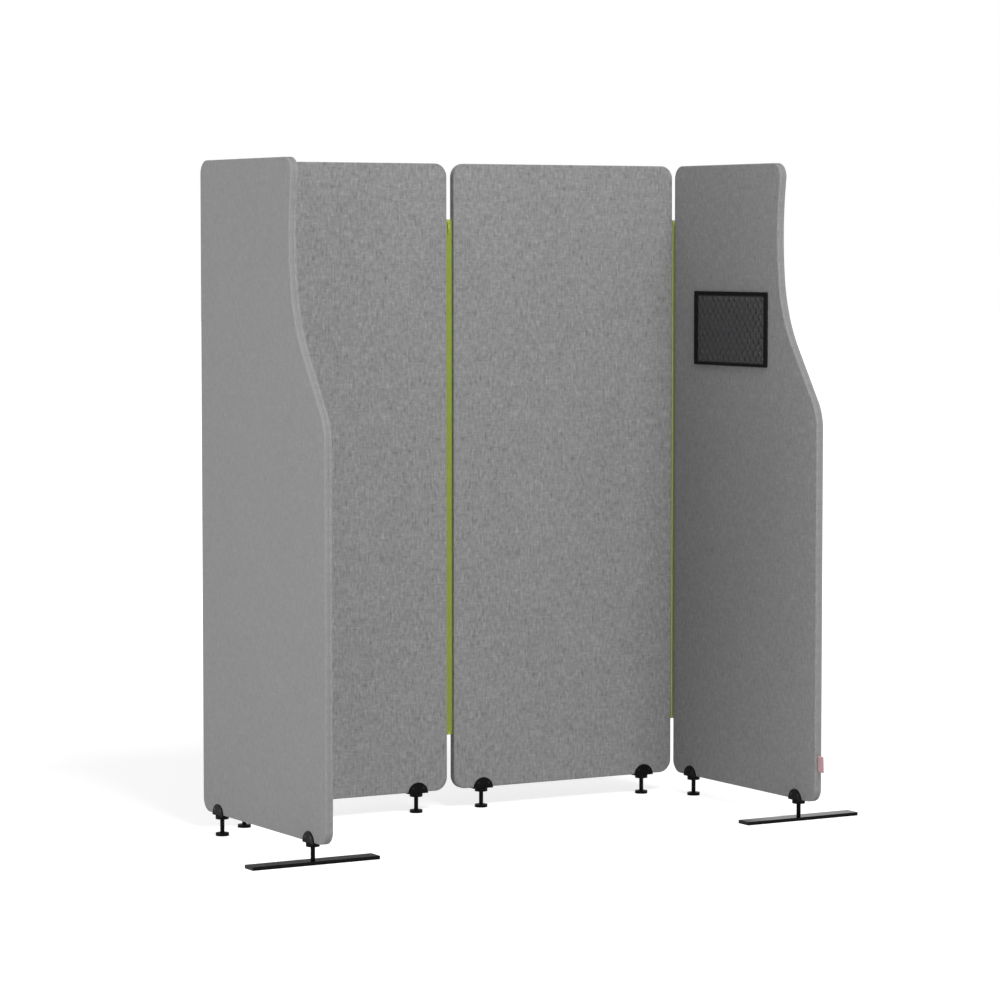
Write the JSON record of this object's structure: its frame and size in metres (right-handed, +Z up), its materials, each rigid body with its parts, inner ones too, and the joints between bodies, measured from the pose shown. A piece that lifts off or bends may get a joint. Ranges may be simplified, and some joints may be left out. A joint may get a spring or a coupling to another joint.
{
  "type": "folding acoustic divider screen",
  "caption": "Freestanding fabric-covered acoustic screen with curved wings, lime zip joints, bracket feet and a mesh pocket, folded to a U.",
  "frame": {"origin": "centre of the overall footprint, on the floor", "axes": "+X along the back row to the viewer's right, +Y from the open front to the back row, +Z up"},
  "size_m": [1.8134, 0.7542, 1.756],
  "materials": {
    "cover_cloth": "melange grey woven cloth with slubs, matt",
    "rail_wood": "planed softwood, hidden",
    "core_board": "sound absorbing felt board, hidden",
    "bracket_paint": "black powder coat, fine texture",
    "screw_steel": "black oxide",
    "stem_steel": "black, satin",
    "disc_plastic": "black moulded plastic",
    "bar_paint": "black gloss",
    "zip_cloth": "lime green woven tape",
    "zip_chain": "lime green coil",
    "zip_slider": "lime green enamel",
    "pocket_cloth": "black edging tape",
    "pocket_net": "charcoal net",
    "tab_cloth": "dull pink cloth, blank"
  },
  "bodies": {
    "panel_back_left": {"inner_cover_back_left": "cover_cloth", "outer_cover_back_left": "cover_cloth", "frame_back_left": "rail_wood", "core_back_left": "core_board", "bracket_back_left_near_zip": "bracket_paint", "bracket_back_left_far": "bracket_paint", "screws_back_left": "screw_steel"},
    "panel_back_right": {"inner_cover_back_right": "cover_cloth", "outer_cover_back_right": "cover_cloth", "frame_back_right": "rail_wood", "core_back_right": "core_board", "bracket_back_right_near_zip": "bracket_paint", "bracket_back_right_far": "bracket_paint", "screws_back_right": "screw_steel"},
    "panel_left_wing": {"inner_cover_left_wing": "cover_cloth", "outer_cover_left_wing": "cover_cloth", "frame_left_wing": "rail_wood", "core_left_wing": "core_board", "bracket_left_wing_near_zip": "bracket_paint", "bracket_left_wing_far": "bracket_paint", "screws_left_wing": "screw_steel"},
    "panel_right_wing": {"inner_cover_right_wing": "cover_cloth", "outer_cover_right_wing": "cover_cloth", "frame_right_wing": "rail_wood", "core_right_wing": "core_board", "bracket_right_wing_near_zip": "bracket_paint", "bracket_right_wing_far": "bracket_paint", "screws_right_wing": "screw_steel", "pocket_gusset": "pocket_cloth", "pocket_mesh": "pocket_net", "pocket_binding": "pocket_cloth", "blank_tab": "tab_cloth"},
    "zip_centre": {"zip_tapes_centre": "zip_cloth", "zip_chain_centre": "zip_chain"},
    "slider_centre": {"zip_slider_centre": "zip_slider"},
    "pull_centre": {"zip_pull_centre": "zip_slider"},
    "zip_left_corner": {"zip_tapes_left_corner": "zip_cloth", "zip_chain_left_corner": "zip_chain"},
    "slider_left_corner": {"zip_slider_left_corner": "zip_slider"},
    "pull_left_corner": {"zip_pull_left_corner": "zip_slider"},
    "zip_right_corner": {"zip_tapes_right_corner": "zip_cloth", "zip_chain_right_corner": "zip_chain"},
    "slider_right_corner": {"zip_slider_right_corner": "zip_slider"},
    "pull_right_corner": {"zip_pull_right_corner": "zip_slider"},
    "stem_back_left_near_zip": {"stem_back_left_near_zip": "stem_steel"},
    "disc_back_left_near_zip": {"disc_back_left_near_zip": "disc_plastic"},
    "stem_back_left_far": {"stem_back_left_far": "stem_steel"},
    "disc_back_left_far": {"disc_back_left_far": "disc_plastic"},
    "stem_back_right_near_zip": {"stem_back_right_near_zip": "stem_steel"},
    "disc_back_right_near_zip": {"disc_back_right_near_zip": "disc_plastic"},
    "stem_back_right_far": {"stem_back_right_far": "stem_steel"},
    "disc_back_right_far": {"disc_back_right_far": "disc_plastic"},
    "stem_left_wing_near_zip": {"stem_left_wing_near_zip": "stem_steel"},
    "disc_left_wing_near_zip": {"disc_left_wing_near_zip": "disc_plastic"},
    "stem_left_wing_far": {"stem_left_wing_far": "stem_steel"},
    "bar_left_wing": {"bar_left_wing": "bar_paint"},
    "stem_right_wing_near_zip": {"stem_right_wing_near_zip": "stem_steel"},
    "disc_right_wing_near_zip": {"disc_right_wing_near_zip": "disc_plastic"},
    "stem_right_wing_far": {"stem_right_wing_far": "stem_steel"},
    "bar_right_wing": {"bar_right_wing": "bar_paint"}
  },
  "joints": [
    {"name": "centre_zip_fold", "type": "hinge", "parent": "panel_back_left", "child": "zip_centre", "pos_m": [-0.00916, 0.35962, 0.906], "axis": [0, 0, -1], "range_deg": [-65, 10]},
    {"name": "back_right_fold", "type": "hinge", "parent": "zip_centre", "child": "panel_back_right", "pos_m": [0.01184, 0.35962, 0.906], "axis": [0, 0, -1], "range_deg": [-65, 10]},
    {"name": "left_zip_fold", "type": "hinge", "parent": "panel_back_left", "child": "zip_left_corner", "pos_m": [-0.70916, 0.35962, 0.906], "axis": [0, 0, 1], "range_deg": [-32, 48]},
    {"name": "left_wing_fold", "type": "hinge", "parent": "zip_left_corner", "child": "panel_left_wing", "pos_m": [-0.72925, 0.35348, 0.906], "axis": [0, 0, 1], "range_deg": [-88, 0]},
    {"name": "right_zip_fold", "type": "hinge", "parent": "panel_back_right", "child": "zip_right_corner", "pos_m": [0.71184, 0.35962, 0.906], "axis": [0, 0, -1], "range_deg": [-49, 31]},
    {"name": "right_wing_fold", "type": "hinge", "parent": "zip_right_corner", "child": "panel_right_wing", "pos_m": [0.72925, 0.34788, 0.906], "axis": [0, 0, -1], "range_deg": [-71, 9]},
    {"name": "centre_slider_run", "type": "slide", "parent": "zip_centre", "child": "slider_centre", "axis": [0, 0, -1], "range_m": [0, 1.376], "deforming": ["zip_chain_centre"]},
    {"name": "centre_pull_swing", "type": "hinge", "parent": "slider_centre", "child": "pull_centre", "pos_m": [0.00134, 0.35612, 1.596], "axis": [-1, 0, 0], "range_deg": [0, 150]},
    {"name": "left_corner_slider_run", "type": "slide", "parent": "zip_left_corner", "child": "slider_left_corner", "axis": [0, 0, -1], "range_m": [0, 1.376], "deforming": ["zip_chain_left_corner"]},
    {"name": "left_corner_pull_swing", "type": "hinge", "parent": "slider_left_corner", "child": "pull_left_corner", "pos_m": [-0.72023, 0.3599, 1.596], "axis": [0.9563, 0.2924, 0], "range_deg": [0, 150]},
    {"name": "right_corner_slider_run", "type": "slide", "parent": "zip_right_corner", "child": "slider_right_corner", "axis": [0, 0, -1], "range_m": [0, 1.376], "deforming": ["zip_chain_right_corner"]},
    {"name": "right_corner_pull_swing", "type": "hinge", "parent": "slider_right_corner", "child": "pull_right_corner", "pos_m": [0.7225, 0.35665, 1.596], "axis": [0.829, -0.5592, 0], "range_deg": [0, 150]},
    {"name": "stem_back_left_near_zip_reach", "type": "slide", "parent": "panel_back_left", "child": "stem_back_left_near_zip", "axis": [0, 0, -1], "range_m": [0, 0.012]},
    {"name": "disc_back_left_near_zip_turn", "type": "hinge", "parent": "stem_back_left_near_zip", "child": "disc_back_left_near_zip", "pos_m": [-0.10016, 0.35962, 0.0025], "axis": [0, 0, 1], "range_deg": [0, 2880]},
    {"name": "stem_back_left_far_reach", "type": "slide", "parent": "panel_back_left", "child": "stem_back_left_far", "axis": [0, 0, -1], "range_m": [0, 0.012]},
    {"name": "disc_back_left_far_turn", "type": "hinge", "parent": "stem_back_left_far", "child": "disc_back_left_far", "pos_m": [-0.61816, 0.35962, 0.0025], "axis": [0, 0, 1], "range_deg": [0, 2880]},
    {"name": "stem_back_right_near_zip_reach", "type": "slide", "parent": "panel_back_right", "child": "stem_back_right_near_zip", "axis": [0, 0, -1], "range_m": [0, 0.012]},
    {"name": "disc_back_right_near_zip_turn", "type": "hinge", "parent": "stem_back_right_near_zip", "child": "disc_back_right_near_zip", "pos_m": [0.10284, 0.35962, 0.0025], "axis": [0, 0, 1], "range_deg": [0, 2880]},
    {"name": "stem_back_right_far_reach", "type": "slide", "parent": "panel_back_right", "child": "stem_back_right_far", "axis": [0, 0, -1], "range_m": [0, 0.012]},
    {"name": "disc_back_right_far_turn", "type": "hinge", "parent": "stem_back_right_far", "child": "disc_back_right_far", "pos_m": [0.62084, 0.35962, 0.0025], "axis": [0, 0, 1], "range_deg": [0, 2880]},
    {"name": "stem_left_wing_near_zip_reach", "type": "slide", "parent": "panel_left_wing", "child": "stem_left_wing_near_zip", "axis": [0, 0, -1], "range_m": [0, 0.012]},
    {"name": "disc_left_wing_near_zip_turn", "type": "hinge", "parent": "stem_left_wing_near_zip", "child": "disc_left_wing_near_zip", "pos_m": [-0.72925, 0.26248, 0.0025], "axis": [0, 0, 1], "range_deg": [0, 2880]},
    {"name": "stem_left_wing_far_reach", "type": "slide", "parent": "panel_left_wing", "child": "stem_left_wing_far", "axis": [0, 0, -1], "range_m": [0, 0.012]},
    {"name": "bar_left_wing_swivel", "type": "hinge", "parent": "stem_left_wing_far", "child": "bar_left_wing", "pos_m": [-0.72925, -0.25552, 0.004], "axis": [0, 0, 1], "range_deg": [-90, 90]},
    {"name": "stem_right_wing_near_zip_reach", "type": "slide", "parent": "panel_right_wing", "child": "stem_right_wing_near_zip", "axis": [0, 0, -1], "range_m": [0, 0.012]},
    {"name": "disc_right_wing_near_zip_turn", "type": "hinge", "parent": "stem_right_wing_near_zip", "child": "disc_right_wing_near_zip", "pos_m": [0.72925, 0.25688, 0.0025], "axis": [0, 0, 1], "range_deg": [0, 2880]},
    {"name": "stem_right_wing_far_reach", "type": "slide", "parent": "panel_right_wing", "child": "stem_right_wing_far", "axis": [0, 0, -1], "range_m": [0, 0.012]},
    {"name": "bar_right_wing_swivel", "type": "hinge", "parent": "stem_right_wing_far", "child": "bar_right_wing", "pos_m": [0.72925, -0.26112, 0.004], "axis": [0, 0, 1], "range_deg": [-90, 90]}
  ],
  "couplings": [
    {"joint": "stem_back_left_near_zip_reach", "follows": "disc_back_left_near_zip_turn", "m_per_rad": 0.00023873},
    {"joint": "stem_back_left_far_reach", "follows": "disc_back_left_far_turn", "m_per_rad": 0.00023873},
    {"joint": "stem_back_right_near_zip_reach", "follows": "disc_back_right_near_zip_turn", "m_per_rad": 0.00023873},
    {"joint": "stem_back_right_far_reach", "follows": "disc_back_right_far_turn", "m_per_rad": 0.00023873},
    {"joint": "stem_left_wing_near_zip_reach", "follows": "disc_left_wing_near_zip_turn", "m_per_rad": 0.00023873},
    {"joint": "stem_right_wing_near_zip_reach", "follows": "disc_right_wing_near_zip_turn", "m_per_rad": 0.00023873}
  ]
}
